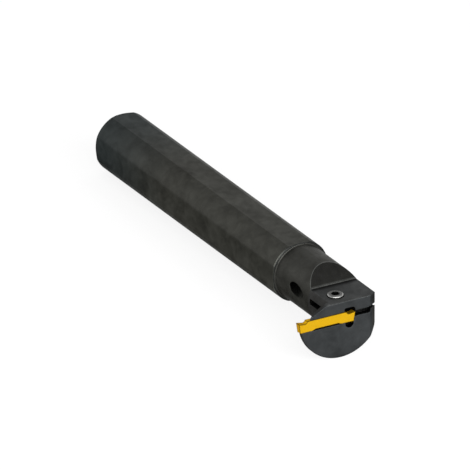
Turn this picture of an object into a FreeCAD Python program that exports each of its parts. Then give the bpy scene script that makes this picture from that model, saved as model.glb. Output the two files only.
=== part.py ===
import FreeCAD, Part
import math
import os

from FreeCAD import Vector

# All lengths are in millimetres and all angles in degrees.
# The bar lies along +X from the middle of its rear face, +Z is up, and the insert points along -Y.
# Heights are measured from the shank's axis, and a reach is measured along +X from the step
# where the shank ends.

# Shank: round bar with four flats
shank_diameter = 25.0
shank_across_flats = 23.0
shank_length = 138.8
shank_rear_chamfer_length = 1.75
shank_rear_chamfer_depth = 1.5
shank_front_chamfer = 0.5

# Neck: plain round, one small step under the shank
neck_diameter = 22.5
neck_root_radius = 0.6
head_reach = 41.2

# Jaw: the neck's upper half is milled down to a flat, behind which a ramp rises to full height
jaw_top_height = 5.2
jaw_edge_chamfer = 0.35
jaw_far_edge_chamfer = 0.3
ramp_foot_reach = 25.3
ramp_slope = 40.8
ramp_foot_radius = 0.8

# Blade: thin disc at the front face, set off toward the cutting side
blade_radius = 18.0
blade_offset = 5.9
blade_thickness = 2.0
blade_rim_chamfer = 0.2
blade_root_radius = 1.4

# The head's far side is cut flat, with a wide chamfer at the front
side_flat_offset = 10.1
side_chamfer_depth = 2.0
side_chamfer_width = 3.1

# Insert: double-ended, its two cutting edges at axis height
insert_tip_offset = 24.55
insert_length = 24.8
insert_edge_width = 2.4
insert_body_width = 2.0
insert_heel_width = 2.1
insert_crown = 0.5
insert_depth = 3.95
insert_end_relief = 8.0
insert_head_length = 5.0
chip_groove_length = 2.5
chip_groove_depth = 0.45
chip_groove_rise = 1.3
chip_groove_sag = 0.3
belly_start = 6.0
belly_slope_length = 1.5
belly_depth = 0.55
vee_width = 1.1
vee_depth = 0.32

# Finger: the jaw's tapered nose, which reaches out along the blade over the insert
finger_top_start = 12.0
finger_slope = 27.7
finger_end_offset = 19.6
finger_end_slope = 40.0
finger_top_radius = 2.5

# Pocket: the finger bears on the insert near its nose and stands a little clear of it at the rear
seat_gap = 0.02
side_gap = 0.15
stop_gap = 0.08
finger_nose_gap = 0.05
finger_rear_gap = 0.25
rear_relief_length = 4.65
rear_relief_overrun = 0.2
rear_relief_top = 2.1
rear_relief_radius = 0.6
rear_relief_end_radius = 1.4
seat_relief_radius = 1.85
seat_relief_inset = 2.4
seat_relief_drop = 0.55

# Slit: cuts the neck in two as far as its end, so that the jaw can bend
slit_width = 2.3
slit_tilt = 1.6
slit_height = 0.43
slit_end_reach = 26.3
slit_corner_radius = 0.4

# Front slot: wide behind the insert, narrow from there to the far side
slot_top = 0.34
slot_bottom = -2.04
slot_lap = 0.6
slot_end_offset = 7.3
slot_end_radius = 0.9
far_slot_top = 0.6
far_slot_bottom = -0.6

# Clamp screw: M4, cylindrical head with a hexagon socket
screw_reach = 34.6
screw_offset = 4.65
screw_diameter = 4.0
screw_head_diameter = 6.4
screw_head_height = 2.6
screw_head_rounding = 0.55
screw_head_stand = 0.75
screw_socket_width = 3.0
screw_socket_depth = 1.6
screw_socket_lead = 0.25
screw_socket_cone = 0.75
hexagon_sides = 6
screw_tip_chamfer = 0.5
screw_depth = 8.0
screw_head_gap = 0.2
screw_shank_gap = 0.2
screw_thread_gap = 0.05
screw_hole_extra = 0.8

# Coolant: threaded port in the rear face, central bore and an oblique outlet aimed at the tip
port_diameter = 8.6
port_depth = 11.0
bore_diameter = 6.0
drill_point = 59.0
outlet_diameter = 4.9
outlet_reach = 16.3
outlet_height = 1.2

# Worked out from the sizes above
shank_radius = shank_diameter / 2
neck_radius = neck_diameter / 2
front_x = shank_length + head_reach
blade_back_x = front_x - blade_thickness
insert_x = front_x - blade_thickness / 2
pocket_x = insert_x - insert_edge_width / 2 - side_gap
insert_tip_y = -insert_tip_offset
insert_heel_y = insert_tip_y + insert_length
end_relief_run = insert_depth * math.tan(math.radians(insert_end_relief))
screw_x = shank_length + screw_reach
screw_y = -screw_offset
screw_top = jaw_top_height + screw_head_stand
screw_seat = screw_top - screw_head_height
clear = 2 * shank_diameter


def prism(points, direction):
    """Straight-sided solid on a closed outline."""
    return Part.Face(Part.makePolygon(points + points[:1])).extrude(direction)


def along(points_yz, x_start, x_end):
    """Solid on an outline in the YZ plane, reaching from one X to another."""
    return prism([Vector(x_start, y, z) for y, z in points_yz], Vector(x_end - x_start, 0, 0))


def upright(points_xy, z_start, z_end):
    """Solid on an outline in the XY plane, reaching from one height to another."""
    return prism([Vector(x, y, z_start) for x, y in points_xy], Vector(0, 0, z_end - z_start))


def turned(edges_xr, centre_y=0.0):
    """Solid of revolution about an axis along X: edges go from axis to axis, in X and radius."""
    first = edges_xr[0].firstVertex().Point
    last = edges_xr[-1].lastVertex().Point
    closing = Part.makeLine(last, first)
    face = Part.Face(Part.Wire(edges_xr + [closing]))
    solid = face.revolve(Vector(0, 0, 0), Vector(1, 0, 0), 360)
    solid.translate(Vector(0, centre_y, 0))
    return solid


def open_path(points_xr):
    """Straight edges through points given in X and radius."""
    corners = [Vector(x, 0, r) for x, r in points_xr]
    return [Part.makeLine(a, b) for a, b in zip(corners, corners[1:])]


def hollow_arc(start, end, centre):
    """Quarter arc from start to end about a centre, all in the XZ plane."""
    chord_middle = (start + end) * 0.5
    outward = (chord_middle - centre).normalize()
    middle = centre + outward * (start - centre).Length
    return Part.Arc(start, middle, end).toShape()


def rounded_corner(before, corner, after, radius):
    """Points where an arc of this radius leaves two lines that meet in a corner, and its middle."""
    back = (before - corner).normalize()
    ahead = (after - corner).normalize()
    half = back.getAngle(ahead) / 2
    reach = radius / math.tan(half)
    start = corner + back * reach
    end = corner + ahead * reach
    centre = corner + (back + ahead).normalize() * (radius / math.sin(half))
    middle = centre + (corner - centre).normalize() * radius
    return start, middle, end


def shank():
    """Round bar with chamfered ends, cut by four flats."""
    r = shank_radius
    bar = turned(open_path([
        (0, 0),
        (0, r - shank_rear_chamfer_depth),
        (shank_rear_chamfer_length, r),
        (shank_length - shank_front_chamfer, r),
        (shank_length, r - shank_front_chamfer),
        (shank_length, 0),
    ]))
    h = shank_across_flats / 2
    flats = along([(-h, -h), (h, -h), (h, h), (-h, h)], 0, shank_length)
    return bar.common(flats)


def neck():
    """Round neck with a small hollow fillet where it leaves the shank."""
    fillet = neck_root_radius
    foot = Vector(shank_length, 0, neck_radius + fillet)
    run_out = Vector(shank_length + fillet, 0, neck_radius)
    centre = Vector(shank_length + fillet, 0, neck_radius + fillet)
    inner_x = shank_length - shank_front_chamfer
    edges = open_path([(inner_x, 0), (inner_x, foot.z), (foot.x, foot.z)])
    edges.append(hollow_arc(foot, run_out, centre))
    edges += open_path([(run_out.x, run_out.z), (front_x, neck_radius), (front_x, 0)])
    return turned(edges)


def blade():
    """Thin disc with broken rims, off the shank's axis."""
    c = blade_rim_chamfer
    return turned(open_path([
        (blade_back_x, 0),
        (blade_back_x, blade_radius - c),
        (blade_back_x + c, blade_radius),
        (front_x - c, blade_radius),
        (front_x, blade_radius - c),
        (front_x, 0),
    ]), -blade_offset)


def blade_root():
    """Hollow fillet between the neck and the back of the blade, kept within the blade's round."""
    fillet = blade_root_radius
    start = Vector(blade_back_x - fillet, 0, neck_radius)
    end = Vector(blade_back_x, 0, neck_radius + fillet)
    centre = Vector(blade_back_x - fillet, 0, neck_radius + fillet)
    edges = open_path([(start.x, 0), (start.x, start.z)])
    edges.append(hollow_arc(start, end, centre))
    edges += open_path([(end.x, end.z), (front_x - blade_rim_chamfer, end.z)])
    edges += open_path([(front_x - blade_rim_chamfer, end.z), (front_x - blade_rim_chamfer, 0)])
    ring = turned(edges)
    core = turned(open_path([
        (start.x, 0),
        (start.x, blade_radius - blade_rim_chamfer),
        (front_x, blade_radius - blade_rim_chamfer),
        (front_x, 0),
    ]), -blade_offset)
    return ring.common(core)


def above_jaw():
    """Space over the jaw: ramp, hollow fillet at its foot, top flat and broken front edge."""
    foot_x = shank_length + ramp_foot_reach
    rise = clear - jaw_top_height
    far_x = foot_x - rise / math.tan(math.radians(ramp_slope))
    foot = Vector(foot_x, -clear, jaw_top_height)
    ramp_top = Vector(far_x, -clear, clear)
    edge_back = Vector(front_x - jaw_edge_chamfer, -clear, jaw_top_height)
    start, middle, end = rounded_corner(ramp_top, foot, edge_back, ramp_foot_radius)
    edge_front = Vector(front_x + clear, -clear, jaw_top_height - jaw_edge_chamfer - clear)
    far_top = Vector(front_x + clear, -clear, clear)
    wire = Part.Wire([
        Part.makeLine(ramp_top, start),
        Part.Arc(start, middle, end).toShape(),
        Part.makeLine(end, edge_back),
        Part.makeLine(edge_back, edge_front),
        Part.makeLine(edge_front, far_top),
        Part.makeLine(far_top, ramp_top),
    ])
    return Part.Face(wire).extrude(Vector(0, 2 * clear, 0))


def beside_head():
    """Space past the head's far side, with the wide chamfer at the front."""
    side = side_flat_offset
    start_x = shank_length + ramp_foot_reach
    return upright([
        (start_x, side),
        (front_x - side_chamfer_depth, side),
        (front_x + side_chamfer_depth, side - 2 * side_chamfer_width),
        (front_x + clear, side),
        (front_x + clear, clear),
        (start_x, clear),
    ], -clear, clear)


def beyond_far_edge():
    """Space off the broken edge between the jaw's top flat and the head's far side."""
    side = side_flat_offset
    break_size = jaw_far_edge_chamfer
    return along([
        (side - break_size, jaw_top_height),
        (side + break_size, jaw_top_height - 2 * break_size),
        (side + break_size, jaw_top_height + break_size),
        (side - break_size, jaw_top_height + break_size),
    ], shank_length + ramp_foot_reach, front_x)


def root_start_x():
    """Where the blade's root fillet begins, behind which the neck is plain."""
    return blade_back_x - blade_root_radius


def over_finger():
    """Space over the finger's sloping top, rounded where it leaves the jaw's flat."""
    x = root_start_x()
    drop = math.tan(math.radians(finger_slope))
    corner = Vector(x, -finger_top_start, jaw_top_height)
    inner = Vector(x, -neck_radius, jaw_top_height)
    outer = Vector(x, -clear, jaw_top_height - (clear - finger_top_start) * drop)
    reach = (inner - corner).Length
    radius = min(finger_top_radius, reach / math.tan(math.radians(finger_slope / 2)))
    start, middle, end = rounded_corner(inner, corner, outer, radius)
    top_inner = Vector(x, start.y, clear)
    top_outer = Vector(x, -clear, clear)
    wire = Part.Wire([
        Part.Arc(start, middle, end).toShape(),
        Part.makeLine(end, outer),
        Part.makeLine(outer, top_outer),
        Part.makeLine(top_outer, top_inner),
        Part.makeLine(top_inner, start),
    ])
    return Part.Face(wire).extrude(Vector(clear, 0, 0))


def past_finger_end():
    """Space past the finger's end, which is cut off at a slope in plan."""
    run = blade_thickness / math.tan(math.radians(finger_end_slope))
    tip = (front_x, -finger_end_offset)
    back = (blade_back_x, -finger_end_offset + run)
    step = (back[0] - tip[0], back[1] - tip[1])
    return upright([
        (tip[0] - step[0], tip[1] - step[1]),
        (back[0] + step[0], back[1] + step[1]),
        (back[0] + step[0], -clear),
        (tip[0] - step[0], -clear),
    ], -insert_depth / 2, clear)


def end_line_y(height, gap):
    """Y of the insert's rear end face at a height, moved back by a gap."""
    return insert_heel_y + height * math.tan(math.radians(insert_end_relief)) + gap


def pocket():
    """Slot for the insert, open at the front face and at the cutting side."""
    floor = -insert_depth - seat_gap
    nose_roof = insert_crown + finger_nose_gap
    rear_roof = insert_crown + finger_rear_gap
    return along([
        (-clear, floor),
        (end_line_y(floor, stop_gap), floor),
        (end_line_y(rear_roof, stop_gap), rear_roof),
        (-finger_end_offset, nose_roof),
        (-clear, nose_roof),
    ], pocket_x, front_x + clear)


def rounded_slot(y_start, y_end, bottom, top, start_radius, end_radius):
    """Slot through the front face, in line with the insert, with its upper start and its end rounded."""
    box = Part.makeBox(front_x + clear - pocket_x, y_end - y_start, top - bottom,
                       Vector(pocket_x, y_start, bottom))
    lengthwise = [edge for edge in box.Edges if edge.Length > clear]
    middle = box.CenterOfMass
    ends = [edge for edge in lengthwise if edge.CenterOfMass.y > middle.y]
    if start_radius == 0:
        return box.makeFillet(end_radius, ends)
    upper_starts = [edge for edge in lengthwise
                    if edge.CenterOfMass.y < middle.y and edge.CenterOfMass.z > middle.z]
    return box.makeFillet(start_radius, upper_starts).common(box.makeFillet(end_radius, ends))


def pocket_reliefs():
    """Relief over the insert's rear edge and round relief in the corner under it."""
    over = rounded_slot(insert_heel_y - rear_relief_length, insert_heel_y + rear_relief_overrun,
                        slot_bottom, rear_relief_top, rear_relief_radius, rear_relief_end_radius)
    under_centre = Vector(pocket_x, insert_heel_y - seat_relief_inset, -insert_depth - seat_relief_drop)
    under = Part.makeCylinder(seat_relief_radius, front_x + clear - pocket_x, under_centre, Vector(1, 0, 0))
    return over.fuse(under)


def seat_rail():
    """Low ridge along the seat, which the insert's lower vee groove runs on."""
    base = -insert_depth - seat_gap
    half = vee_width / 2
    end_y = insert_heel_y - seat_relief_inset - seat_relief_radius
    ridge = prism([
        Vector(insert_x - half, -clear, base),
        Vector(insert_x + half, -clear, base),
        Vector(insert_x, -clear, base + vee_depth),
    ], Vector(0, clear + end_y, 0))
    disc = open_path([(pocket_x, 0), (pocket_x, blade_radius), (front_x, blade_radius), (front_x, 0)])
    return ridge.common(turned(disc, -blade_offset))


def finger_rail():
    """Ridge under the finger, which sits in the insert's upper vee groove."""
    base = insert_crown + seat_gap
    root = insert_crown + finger_rear_gap + vee_depth
    half = vee_width / 2
    end_y = -finger_end_offset + blade_thickness / math.tan(math.radians(finger_end_slope))
    start_y = insert_heel_y - rear_relief_length
    return prism([
        Vector(insert_x - half, end_y, root),
        Vector(insert_x + half, end_y, root),
        Vector(insert_x + half, end_y, base),
        Vector(insert_x, end_y, base - vee_depth),
        Vector(insert_x - half, end_y, base),
    ], Vector(0, start_y - end_y, 0))


def slit():
    """Cut that lets the jaw bend: the neck's whole width, with a rounded end."""
    half = slit_width / 2
    end_x = shank_length + slit_end_reach
    cut = Part.makeBox(pocket_x - end_x, 2 * clear, slit_width, Vector(end_x, -clear, -half))
    end_edges = [edge for edge in cut.Edges
                 if edge.BoundBox.XMax < end_x + slit_corner_radius and edge.Length > clear]
    cut = cut.makeFillet(slit_corner_radius, end_edges)
    cut.rotate(Vector(0, 0, 0), Vector(1, 0, 0), -slit_tilt)
    cut.translate(Vector(0, 0, slit_height))
    return cut


def front_slot():
    """The slit's front part: wide from the insert's rear end, then narrow to the far side."""
    start_x = pocket_x - slit_corner_radius
    wide = rounded_slot(insert_heel_y - slot_lap, slot_end_offset, slot_bottom, slot_top, 0, slot_end_radius)
    narrow = Part.makeBox(front_x + clear - start_x, clear, far_slot_top - far_slot_bottom,
                          Vector(start_x, slot_end_offset - slot_end_radius, far_slot_bottom))
    return wide.fuse(narrow)


def screw_hole():
    """Counterbore and clearance hole through the jaw, tapped hole below the slit."""
    def column(radius, low, high):
        return Part.makeCylinder(radius, high - low, Vector(screw_x, screw_y, low), Vector(0, 0, 1))

    head = column(screw_head_diameter / 2 + screw_head_gap, screw_seat, clear)
    jaw = column(screw_diameter / 2 + screw_shank_gap, slit_height, clear)
    tapped = column(screw_diameter / 2 + screw_thread_gap, -screw_depth - screw_hole_extra, clear)
    return head.fuse(jaw).fuse(tapped)


def outlet_direction():
    """Unit vector from the coolant outlet to the middle of the cutting edge."""
    outlet_y = -math.sqrt(neck_radius ** 2 - outlet_height ** 2)
    outlet = Vector(shank_length + outlet_reach, outlet_y, outlet_height)
    tip = Vector(insert_x, insert_tip_y, 0)
    return outlet, (tip - outlet).normalize()


def coolant_passage():
    """Rear port, central bore with a drill point, and the oblique outlet hole."""
    outlet, aim = outlet_direction()
    start = outlet + aim * (outlet.y / -aim.y)
    bore_radius = bore_diameter / 2
    port_radius = port_diameter / 2
    cone = bore_radius / math.tan(math.radians(drill_point))
    bore_end = start.x + outlet_diameter / 2
    bore = turned(open_path([
        (-port_depth, 0),
        (-port_depth, port_radius),
        (port_depth, port_radius),
        (port_depth + port_radius - bore_radius, bore_radius),
        (bore_end, bore_radius),
        (bore_end + cone, 0),
    ]))
    length = (outlet - start).Length + shank_radius
    oblique = Part.makeCylinder(outlet_diameter / 2, length, start, aim)
    return bore.fuse(oblique)


def holder_body():
    """Shank, neck, blade and jaw in one piece of steel."""
    bar = shank().fuse(neck()).fuse(blade()).fuse(blade_root())
    for space in (above_jaw(), beside_head(), beyond_far_edge(), over_finger(), past_finger_end()):
        bar = bar.cut(space)
    for space in (pocket(), pocket_reliefs(), slit(), front_slot(), screw_hole(), coolant_passage()):
        bar = bar.cut(space)
    return bar.fuse(seat_rail()).fuse(finger_rail())


def chip_groove_arc(a, b):
    """Hollow arc between the bottom of a chip groove and the insert's crown, in either order."""
    rise = b - a
    downward = Vector(0, rise.z, -rise.y).normalize()
    if downward.z > 0:
        downward = downward * -1
    return Part.Arc(a, (a + b) * 0.5 + downward * chip_groove_sag, b).toShape()


def insert_side_form():
    """Insert's side view as a solid block: chip grooves on top, relieved ends, hollow belly."""
    x = insert_x - insert_edge_width
    rise_end = chip_groove_length + chip_groove_rise
    belly_end = belly_start + belly_slope_length

    def pair(distance, height):
        """The same point of the outline as seen from the tip and from the heel."""
        return Vector(x, insert_tip_y + distance, height), Vector(x, insert_heel_y - distance, height)

    tip, heel = pair(0, 0)
    groove, heel_groove = pair(chip_groove_length, -chip_groove_depth)
    crown, heel_crown = pair(rise_end, insert_crown)
    foot, heel_foot = pair(end_relief_run, -insert_depth)
    belly, heel_belly = pair(belly_start, -insert_depth)
    hollow, heel_hollow = pair(belly_end, belly_depth - insert_depth)
    lower = [heel, heel_foot, heel_belly, heel_hollow, hollow, belly, foot, tip]
    edges = [
        Part.makeLine(tip, groove),
        chip_groove_arc(groove, crown),
        Part.makeLine(crown, heel_crown),
        chip_groove_arc(heel_crown, heel_groove),
        Part.makeLine(heel_groove, heel),
    ]
    edges += [Part.makeLine(a, b) for a, b in zip(lower, lower[1:])]
    return Part.Face(Part.Wire(edges)).extrude(Vector(2 * insert_edge_width, 0, 0))


def plan_wire(edge_width, height):
    """Insert's plan at a height: wide at the cutting edges, narrow between its heads."""
    wide = edge_width / 2
    narrow = insert_body_width / 2
    rows = [(insert_tip_y, wide), (insert_tip_y + insert_head_length, narrow),
            (insert_heel_y - insert_head_length, narrow), (insert_heel_y, wide)]
    points = [Vector(insert_x + w, y, height) for y, w in rows]
    points += [Vector(insert_x - w, y, height) for y, w in reversed(rows)]
    return Part.makePolygon(points + points[:1])


def vee_groove(height, direction):
    """Groove along the insert, cut up into its underside or down into its crown."""
    outside = -direction * vee_depth
    return prism([
        Vector(insert_x - vee_width, -clear, height + outside),
        Vector(insert_x + vee_width, -clear, height + outside),
        Vector(insert_x, -clear, height + direction * vee_depth),
    ], Vector(0, 2 * clear, 0))


def grooving_insert():
    """Double-ended insert: side view and tapered plan brought together, with a vee along each face."""
    upper = plan_wire(insert_edge_width, insert_crown)
    lower = plan_wire(insert_heel_width, -insert_depth)
    tapered = Part.makeLoft([upper, lower], True, True)
    body = insert_side_form().common(tapered)
    body = body.cut(vee_groove(insert_crown, -1))
    body = body.cut(vee_groove(-insert_depth, 1))
    return body.removeSplitter()


def clamp_screw():
    """Socket screw: rounded cylindrical head, shank and chamfered point."""
    head_radius = screw_head_diameter / 2
    radius = screw_diameter / 2
    rounding = screw_head_rounding
    shoulder = Vector(head_radius, 0, screw_top - rounding)
    crown = Vector(head_radius - rounding, 0, screw_top)
    centre = Vector(head_radius - rounding, 0, screw_top - rounding)
    corners = [
        Vector(0, 0, -screw_depth),
        Vector(radius - screw_tip_chamfer, 0, -screw_depth),
        Vector(radius, 0, -screw_depth + screw_tip_chamfer),
        Vector(radius, 0, screw_seat),
        Vector(head_radius, 0, screw_seat),
        shoulder,
    ]
    edges = [Part.makeLine(a, b) for a, b in zip(corners, corners[1:])]
    edges.append(hollow_arc(shoulder, crown, centre))
    edges.append(Part.makeLine(crown, Vector(0, 0, screw_top)))
    edges.append(Part.makeLine(Vector(0, 0, screw_top), corners[0]))
    screw = Part.Face(Part.Wire(edges)).revolve(Vector(0, 0, 0), Vector(0, 0, 1), 360)
    screw = screw.cut(screw_socket())
    screw.translate(Vector(screw_x, screw_y, 0))
    return screw


def screw_socket():
    """Hexagon socket with a conical floor and a short lead-in."""
    floor_z = screw_top - screw_socket_depth
    half_side_angle = math.pi / hexagon_sides
    corner_radius = screw_socket_width / 2 / math.cos(half_side_angle)
    corners = [Vector(corner_radius * math.cos(2 * half_side_angle * k),
                      corner_radius * math.sin(2 * half_side_angle * k),
                      floor_z) for k in range(hexagon_sides)]
    hexagon = prism(corners, Vector(0, 0, screw_head_height))
    up = Vector(0, 0, 1)
    lead = Part.makeCone(corner_radius - screw_socket_lead, corner_radius + screw_socket_lead,
                         2 * screw_socket_lead, Vector(0, 0, screw_top - screw_socket_lead), up)
    floor = Part.makeCone(0, screw_socket_width / 2, screw_socket_cone,
                          Vector(0, 0, floor_z - screw_socket_cone), up)
    return hexagon.fuse(lead).fuse(floor)


def main():
    os.makedirs("parts", exist_ok=True)
    for name, make in (("holder_body", holder_body),
                       ("grooving_insert", grooving_insert),
                       ("clamp_screw", clamp_screw)):
        shape = make()
        print(name, "solids", len(shape.Solids), "valid", shape.isValid(), "volume", round(shape.Volume, 1))
        shape.exportStep("parts/" + name + ".step")


main()
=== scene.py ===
import math

import bmesh
import bpy
from mathutils import Matrix, Vector


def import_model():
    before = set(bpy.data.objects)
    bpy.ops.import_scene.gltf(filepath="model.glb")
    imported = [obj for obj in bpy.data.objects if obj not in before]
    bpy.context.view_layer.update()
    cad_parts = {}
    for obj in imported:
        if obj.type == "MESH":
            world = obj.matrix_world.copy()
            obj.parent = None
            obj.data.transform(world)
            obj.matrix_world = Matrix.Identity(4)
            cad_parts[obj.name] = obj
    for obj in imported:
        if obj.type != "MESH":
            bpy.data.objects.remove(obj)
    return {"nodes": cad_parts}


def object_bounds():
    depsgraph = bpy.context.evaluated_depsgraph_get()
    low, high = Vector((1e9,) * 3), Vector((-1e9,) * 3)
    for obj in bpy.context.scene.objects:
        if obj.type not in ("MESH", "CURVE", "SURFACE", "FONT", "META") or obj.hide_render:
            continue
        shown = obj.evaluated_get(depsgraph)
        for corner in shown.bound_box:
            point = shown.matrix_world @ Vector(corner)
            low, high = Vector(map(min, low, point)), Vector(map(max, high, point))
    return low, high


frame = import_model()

MM = 0.001
CAD_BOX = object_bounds()
HOLDER = frame["nodes"]["holder_body"]
INSERT = frame["nodes"]["grooving_insert"]
SCREW = frame["nodes"]["clamp_screw"]

# The bar lies along +X with its head at the far end, and its insert points along -Y.
SHANK_END = 138.8 * MM
HEAD_END = CAD_BOX[1].x
RAMP_FOOT = Vector((164.1, 0.0, 5.2)) * MM
RAMP_SLOPE = math.radians(40.8)
SCREW_AXIS = Vector((173.4, -4.65, 0.0)) * MM
# Beyond this radius from the screw's axis, its head gets a painted sheen: a lighter tone that widens the
# lamp's highlight on the rim.
RIM_SHEEN_RADIUS = 2.75 * MM

# The real grit and grain are about a tenth of a pixel, so they are drawn as coarse as it takes to show.
STEEL_GRIT = 0.5 * MM
CARBIDE_GRAIN = 0.4 * MM
TURNED_GRAIN = 0.3 * MM
GRAIN_DEPTH = 0.02 * MM
CLOUD_SIZE = 11 * MM
STREAK_SIZE = 4.5 * MM
REAR_LENGTH = 60 * MM
NOISE_SPAN = (0.3, 0.7)

CAMERA_AZIMUTH = 60.0
CAMERA_ELEVATION = 25.0
CAMERA_TARGET = Vector((97.44, -4.985, -0.088)) * MM
CAMERA_DISTANCE = 8.0
FRAME_WIDTH = 180.7 * MM
SENSOR_WIDTH = 36.0

WALL_LEVEL = 1.4
SIDE_WALL_LEVEL = 1.3
CEILING_LEVEL = 0.55
SIDE_WALL_AZIMUTH = 300.0
# The walls' limits are sines and cosines of the angles at which they are seen from the bar.
SIDE_WALL_EDGE = 0.3
WALL_TOP = 0.35
CEILING_EDGE = 0.8
FLOOR_REACH = 20.0
FLOOR_GLOW = 0.85

# What some nodes do: settings that add_node takes.
OVER = {"operation": "GREATER_THAN"}
NEAR = {"operation": "COMPARE"}
TIMES = {"operation": "MULTIPLY"}
GREATER = {"operation": "MAXIMUM"}
SCALED = {"operation": "SCALE"}
DOT = {"operation": "DOT_PRODUCT"}
COLOUR = {"data_type": "RGBA"}
SMOOTH = {"interpolation_type": "SMOOTHSTEP"}


def to_linear(hex_colour):
    """An sRGB hex value as the linear colour that shaders take."""
    channels = [int(hex_colour[i:i + 2], 16) / 255 for i in (1, 3, 5)]
    linear = [c / 12.92 if c <= 0.04045 else ((c + 0.055) / 1.055) ** 2.4 for c in channels]
    return (*linear, 1.0)


def add_node(tree, kind, settings=(), *values, **named):
    """Adds one shader node, sets its properties, and fills or links its inputs.

    Values go to the inputs in use, in their order, and named ones to the inputs of those names.
    A node that is given as a value stands for the first of its outputs in use.
    """
    node = tree.nodes.new("ShaderNode" + kind)
    for name, value in dict(settings).items():
        setattr(node, name, value)
    in_use = [socket for socket in node.inputs if socket.enabled]
    filled = list(zip(in_use, values))
    filled += [(node.inputs[name.replace("_", " ")], value) for name, value in named.items()]
    for socket, value in filled:
        if isinstance(value, bpy.types.Node):
            value = next(output for output in value.outputs if output.enabled)
        if isinstance(value, bpy.types.NodeSocket):
            tree.links.new(value, socket)
        else:
            socket.default_value = value
    return node


def new_material(name):
    """A material with an empty node tree."""
    material = bpy.data.materials.new(name)
    material.use_nodes = True
    material.node_tree.nodes.clear()
    return material, material.node_tree


def openness(tree, reach, closed):
    """Painted shade: 1 in the open, falling to 0.1 in slots and bores, where little light comes back out.

    Closed is the share of open directions at which a place is as dark as it gets.
    """
    open_enough = 0.75
    darkest = 0.1
    sky = add_node(tree, "AmbientOcclusion", {"samples": 8}, Distance=reach).outputs["AO"]
    return add_node(tree, "MapRange", (), sky, closed, open_enough, darkest, 1.0)


def band(start, end):
    """A stretch between two places as the middle and reach that a comparison takes."""
    return (start + end) / 2, (end - start) / 2


def ramp_places(tree, place, along):
    """Where the ramp behind the jaw is, and a band under the rim that it cuts in the round neck, for a
    painted highlight.
    """
    outward = Vector((math.sin(RAMP_SLOPE), 0.0, math.cos(RAMP_SLOPE)))
    reach = add_node(tree, "VectorMath", DOT, place, outward)
    height = add_node(tree, "Math", {"operation": "SUBTRACT"}, reach, RAMP_FOOT.dot(outward))
    on_plane = add_node(tree, "Math", NEAR, height, 0.0, 0.1 * MM)
    behind_foot = add_node(tree, "Math", OVER, RAMP_FOOT.x, along)
    # Painted highlight: a thin light band on the neck just under the rim that the ramp cuts.
    just_under = add_node(tree, "Math", NEAR, height, *band(-0.36 * MM, -0.04 * MM))
    clear_of_foot = add_node(tree, "Math", OVER, RAMP_FOOT.x - 0.6 * MM, along)
    on_ramp = add_node(tree, "Math", TIMES, on_plane, behind_foot)
    painted_rim_highlight = add_node(tree, "Math", TIMES, just_under, clear_of_foot)
    return on_ramp, painted_rim_highlight


def oxide_tone(tree, axes, on_ramp, painted_rim_highlight):
    """Colour of the blackened steel, with painted highlights and painted shade on some edges and corners.
    """
    along, across, up = axes
    foot = RAMP_FOOT.x
    forward = add_node(tree, "MapRange", SMOOTH, along, 0.0, REAR_LENGTH, 0.0, 1.0)
    past_shank = add_node(tree, "Math", OVER, along, SHANK_END)
    past_foot = add_node(tree, "Math", OVER, along, foot)
    front_face = add_node(tree, "Math", OVER, along, HEAD_END - 1 * MM)

    # Painted shade: the shank's front chamfer is darkened, so that it shows less of the lamp's reflection.
    chamfer = add_node(tree, "Math", NEAR, along, *band(SHANK_END - 0.55 * MM, SHANK_END + 0.05 * MM))
    # Painted highlight: a light arc on the outer part of the shank's front chamfer, on the insert's side,
    # for the floor it mirrors.
    edge = add_node(tree, "Math", NEAR, along, *band(SHANK_END - 0.58 * MM, SHANK_END - 0.26 * MM))
    insert_side = add_node(tree, "MapRange", SMOOTH, across, -10.5 * MM, -5 * MM, 1.0, 0.0)
    painted_chamfer_highlight = add_node(tree, "Math", TIMES, edge, insert_side)

    on_top = add_node(tree, "Math", OVER, up, RAMP_FOOT.z - 0.3 * MM)
    jaw_top = add_node(tree, "Math", TIMES, on_top, past_foot)
    # Painted highlight: a light line on the round at the ramp's foot.
    at_foot = add_node(tree, "Math", NEAR, along, *band(foot - 0.55 * MM, foot + 0.35 * MM))
    painted_foot_highlight = add_node(tree, "Math", TIMES, on_top, at_foot)
    # Painted shade: a dark band on the jaw top just in front of the ramp's foot, fading out forward.
    past_round = add_node(tree, "Math", OVER, along, foot + 0.35 * MM)
    before_foot = add_node(tree, "Math", TIMES, on_top, past_round)
    corner_shade_fade = add_node(tree, "MapRange", SMOOTH, along, foot + 0.9 * MM, foot + 3.4 * MM, 0.85, 0.0)
    painted_corner_shade = add_node(tree, "Math", TIMES, before_foot, corner_shade_fade)

    tone = to_linear("#313535")
    for place, colour in (
            (forward, "#3b3b37"),
            (past_shank, "#373734"),
            (past_foot, "#373736"),
            (front_face, "#37393a"),
            (chamfer, "#2a2b2a"),
            (painted_chamfer_highlight, "#4c4d48"),
            (on_ramp, "#333331"),
            (painted_rim_highlight, "#585957"),
            (jaw_top, "#3f4040"),
            (painted_foot_highlight, "#4a4b49"),
            (painted_corner_shade, "#0c0c0c")):
        tone = add_node(tree, "Mix", COLOUR, place, tone, to_linear(colour))
    return tone


def mottling(tree, place):
    """Patches of a dipped finish as a factor near 1: clouds of about a centimetre and finer streaks."""
    cloud = add_node(tree, "TexNoise", Vector=place, Scale=1 / CLOUD_SIZE, Detail=3.0, Roughness=0.6)
    streak = add_node(tree, "TexNoise", Vector=place, Scale=1 / STREAK_SIZE, Detail=4.0, Roughness=0.6,
                      Distortion=0.6)
    broad = add_node(tree, "MapRange", (), cloud, *NOISE_SPAN, 0.86, 1.14)
    fine = add_node(tree, "MapRange", (), streak, *NOISE_SPAN, 0.82, 1.18)
    return add_node(tree, "Math", TIMES, broad, fine), cloud


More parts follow.
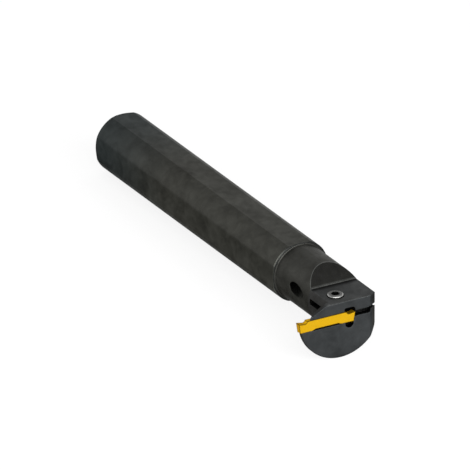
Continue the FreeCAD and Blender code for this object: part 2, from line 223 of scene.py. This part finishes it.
def black_oxide_steel():
    """Hot-blackened alloy steel: ground or turned first, then dipped, so it is satin and faintly mottled.

    The eye sees a dark grey with no colour of its own, darker at the rear and on the head than between.
    The ramp behind the jaw is end-milled smoother than the rest, so it mirrors the dark ceiling. A painted
    highlight lies on the round at the ramp's foot, on a band under the rim that the ramp cuts in the neck
    and on the outer part of the shank's front chamfer on the insert's side; painted shade lies on the rest
    of that chamfer, on the jaw just in front of the foot, and in slots and bores. Below the top, the
    flanks get a darker painted reflection at a grazing angle than the top does, for the bar's shadow on
    the floor beside them.
    """
    material, tree = new_material("black_oxide_alloy_steel")
    place = add_node(tree, "TexCoord").outputs["Object"]
    axes = add_node(tree, "SeparateXYZ", (), place).outputs
    on_ramp, painted_rim_highlight = ramp_places(tree, place, axes["X"])
    tone = oxide_tone(tree, axes, on_ramp, painted_rim_highlight)
    patches, cloud = mottling(tree, place)
    mottled = add_node(tree, "VectorMath", SCALED, tone, patches)
    # Painted shade: colour and reflection tint darken in slots, bores and corners, by ambient occlusion.
    painted_hollow_shade = openness(tree, 4 * MM, closed=0.3)

    # Painted shade in reflections: below the top, the flanks mirror less at a grazing angle, for the bar's
    # shadow on the floor beside them.
    top = add_node(tree, "MapRange", SMOOTH, axes["Z"], 3.5 * MM, 6.5 * MM, 0.0, 1.0)
    painted_reflection_tint = add_node(tree, "Mix", COLOUR, top, to_linear("#a0a0a0"), to_linear("#cccccc"))
    softer = add_node(tree, "Math", {"operation": "SQRT"}, patches)
    shine = add_node(tree, "Math", TIMES, softer, painted_hollow_shade)

    satin = add_node(tree, "MapRange", (), cloud, 0.0, 1.0, 0.40, 0.54)
    roughness = add_node(tree, "Mix", {"data_type": "FLOAT"}, on_ramp, satin, 0.24)
    grit = add_node(tree, "TexNoise", Vector=place, Scale=1 / STEEL_GRIT, Detail=2.0)
    broken_edge = add_node(tree, "Bevel", {"samples": 6}, Radius=0.35 * MM)
    bump = add_node(tree, "Bump", Height=grit, Strength=0.1, Distance=GRAIN_DEPTH, Normal=broken_edge)
    steel = add_node(tree, "BsdfPrincipled", Metallic=0.95, Roughness=roughness,
                     Base_Color=add_node(tree, "VectorMath", SCALED, mottled, painted_hollow_shade),
                     Specular_Tint=add_node(tree, "VectorMath", SCALED, painted_reflection_tint, shine), Normal=bump)
    add_node(tree, "OutputMaterial", Surface=steel)
    return material


def nitride_coated_carbide():
    """Sintered tungsten carbide, ground and coated with titanium nitride.

    The eye sees a satin gold, with painted shade as dark lines along its edges, for the shadow in the
    seams around it.
    """
    material, tree = new_material("titanium_nitride_coated_carbide")
    place = add_node(tree, "TexCoord").outputs["Object"]
    grain = add_node(tree, "TexNoise", Vector=place, Scale=1 / CARBIDE_GRAIN, Detail=2.0)
    gold = add_node(tree, "Mix", COLOUR, grain, to_linear("#c99c16"), to_linear("#d2a51b"))
    # Painted shade: the colour darkens along the edges, for the shadow in the seams beside the insert.
    rounded = add_node(tree, "Bevel", {"samples": 8}, Radius=0.7 * MM)
    flat = add_node(tree, "NewGeometry").outputs["Normal"]
    likeness = add_node(tree, "VectorMath", DOT, rounded, flat)
    edge = add_node(tree, "MapRange", SMOOTH, likeness, 0.88, 0.985, 0.9, 0.0)
    bump = add_node(tree, "Bump", Height=grain, Strength=0.1, Distance=GRAIN_DEPTH)
    coat = add_node(tree, "BsdfPrincipled", Metallic=0.9, Roughness=0.4,
                    Base_Color=add_node(tree, "Mix", COLOUR, edge, gold, to_linear("#2c2208")),
                    Specular_Tint=to_linear("#80744c"), Normal=bump)
    add_node(tree, "OutputMaterial", Surface=coat)
    return material


def turned_bright_steel():
    """Bright screw steel, turned on the face of its head, with a painted sheen on its rim, which is set
    lighter.

    The eye sees a grey face with a light ring around it, which catches the lamp on one side.
    """
    material, tree = new_material("turned_bright_steel")
    place = add_node(tree, "TexCoord").outputs["Object"]
    grain = add_node(tree, "TexNoise", Vector=place, Scale=1 / TURNED_GRAIN, Detail=2.0)
    flat = add_node(tree, "VectorMath", TIMES, place, (1.0, 1.0, 0.0))
    radius = add_node(tree, "VectorMath", {"operation": "DISTANCE"}, flat, SCREW_AXIS)
    # Painted sheen: the rim is set lighter than the face, so the lamp's highlight on it spreads wider.
    painted_rim_highlight = add_node(tree, "Math", OVER, radius, RIM_SHEEN_RADIUS)
    tone = add_node(tree, "Mix", COLOUR, painted_rim_highlight, to_linear("#363635"), to_linear("#8c8c8a"))
    # Painted shade: the colour darkens in the socket and under the head, by ambient occlusion.
    painted_hollow_shade = openness(tree, 1.5 * MM, closed=0.15)
    bump = add_node(tree, "Bump", Height=grain, Strength=0.1, Distance=GRAIN_DEPTH)
    steel = add_node(tree, "BsdfPrincipled", Metallic=1.0, Roughness=0.24,
                     Base_Color=add_node(tree, "VectorMath", SCALED, tone, painted_hollow_shade), Normal=bump)
    add_node(tree, "OutputMaterial", Surface=steel)
    return material


def studio_white():
    """Pale floor: plain white, with a faint shadow, to the camera and in what metal mirrors, else matt."""
    material, tree = new_material("studio_floor")
    ray = add_node(tree, "LightPath").outputs
    mirrored = add_node(tree, "Math", GREATER, ray["Is Glossy Ray"], ray["Is Transmission Ray"])
    seen = add_node(tree, "Math", GREATER, ray["Is Camera Ray"], mirrored)
    share = add_node(tree, "Math", TIMES, seen, FLOOR_GLOW)
    matt = add_node(tree, "BsdfDiffuse", Color=to_linear("#ececec"))
    glow = add_node(tree, "Emission", Color=to_linear("#ffffff"), Strength=1.0)
    add_node(tree, "OutputMaterial", Surface=add_node(tree, "MixShader", (), share, matt, glow))
    return material


def dress(node, material):
    """Gives every material slot of a CAD node the same material."""
    for index in range(len(node.data.materials)):
        node.data.materials[index] = material


def floor():
    """A plain sheet that the rear edge and the blade's rim rest on."""
    low_rear = Vector((0.6, 0.0, -11.5)) * MM
    low_front = Vector((HEAD_END, 0.0, CAD_BOX[0].z))
    slope = math.atan2(low_front.z - low_rear.z, low_front.x - low_rear.x)
    mesh = bpy.data.meshes.new("floor")
    sheet = bmesh.new()
    bmesh.ops.create_grid(sheet, x_segments=1, y_segments=1, size=FLOOR_REACH)
    sheet.to_mesh(mesh)
    sheet.free()
    mesh.materials.append(studio_white())
    obj = bpy.data.objects.new("floor", mesh)
    obj.matrix_world = Matrix.Translation(low_rear) @ Matrix.Rotation(-slope, 4, "Y")
    bpy.context.scene.collection.objects.link(obj)


def direction(azimuth, elevation):
    """Unit vector from the object toward a place, azimuth 0 being -Y and 90 being +X."""
    a = math.radians(azimuth)
    e = math.radians(elevation)
    return Vector((math.sin(a) * math.cos(e), -math.cos(a) * math.cos(e), math.sin(e)))


def aim(name, data, azimuth, elevation, distance):
    """Puts a camera or a lamp at a distance from the middle of the bar, facing it."""
    obj = bpy.data.objects.new(name, data)
    toward = direction(azimuth, elevation)
    obj.location = CAMERA_TARGET + toward * distance
    obj.rotation_mode = "QUATERNION"
    obj.rotation_quaternion = (-toward).to_track_quat("-Z", "Y")
    bpy.context.scene.collection.objects.link(obj)
    return obj


def camera():
    """A long lens at the photograph's angle."""
    data = bpy.data.cameras.new("camera")
    half_angle = math.atan(FRAME_WIDTH / 2 / CAMERA_DISTANCE)
    data.sensor_width = SENSOR_WIDTH
    data.lens = SENSOR_WIDTH / 2 / math.tan(half_angle)
    data.clip_start = 0.1
    data.clip_end = 2 * CAMERA_DISTANCE
    obj = aim("camera", data, CAMERA_AZIMUTH, CAMERA_ELEVATION, CAMERA_DISTANCE)
    bpy.context.scene.camera = obj


def softbox(name, azimuth, elevation, distance, width, height, power):
    """A rectangular area lamp that faces the middle of the bar."""
    data = bpy.data.lights.new(name, "AREA")
    data.shape = "RECTANGLE"
    data.size = width
    data.size_y = height
    data.energy = power
    aim(name, data, azimuth, elevation, distance)


def world():
    """Pale walls, a little less pale on the insert's side at the rear, under a dimmer ceiling."""
    studio = bpy.data.worlds.new("studio")
    studio.use_nodes = True
    tree = studio.node_tree
    tree.nodes.clear()
    way = add_node(tree, "TexCoord").outputs["Generated"]
    height = add_node(tree, "SeparateXYZ", (), way).outputs["Z"]
    side = add_node(tree, "VectorMath", DOT, way, direction(SIDE_WALL_AZIMUTH, 0.0))
    wall = add_node(tree, "MapRange", SMOOTH, side, SIDE_WALL_EDGE, 1.0, WALL_LEVEL, SIDE_WALL_LEVEL)
    level = add_node(tree, "MapRange", SMOOTH, height, WALL_TOP, CEILING_EDGE, wall, CEILING_LEVEL)
    around = add_node(tree, "Background", Color=to_linear("#ffffff"), Strength=level)
    add_node(tree, "OutputWorld", Surface=around)
    bpy.context.scene.world = studio


dress(HOLDER, black_oxide_steel())
dress(INSERT, nitride_coated_carbide())
dress(SCREW, turned_bright_steel())
floor()
world()
softbox("front", azimuth=80, elevation=27, distance=1.0, width=1.6, height=0.7, power=18.0)
softbox("overhead", azimuth=211, elevation=60, distance=1.0, width=0.5, height=0.2, power=0.8)
camera()
bpy.context.scene.view_settings.view_transform = "Standard"
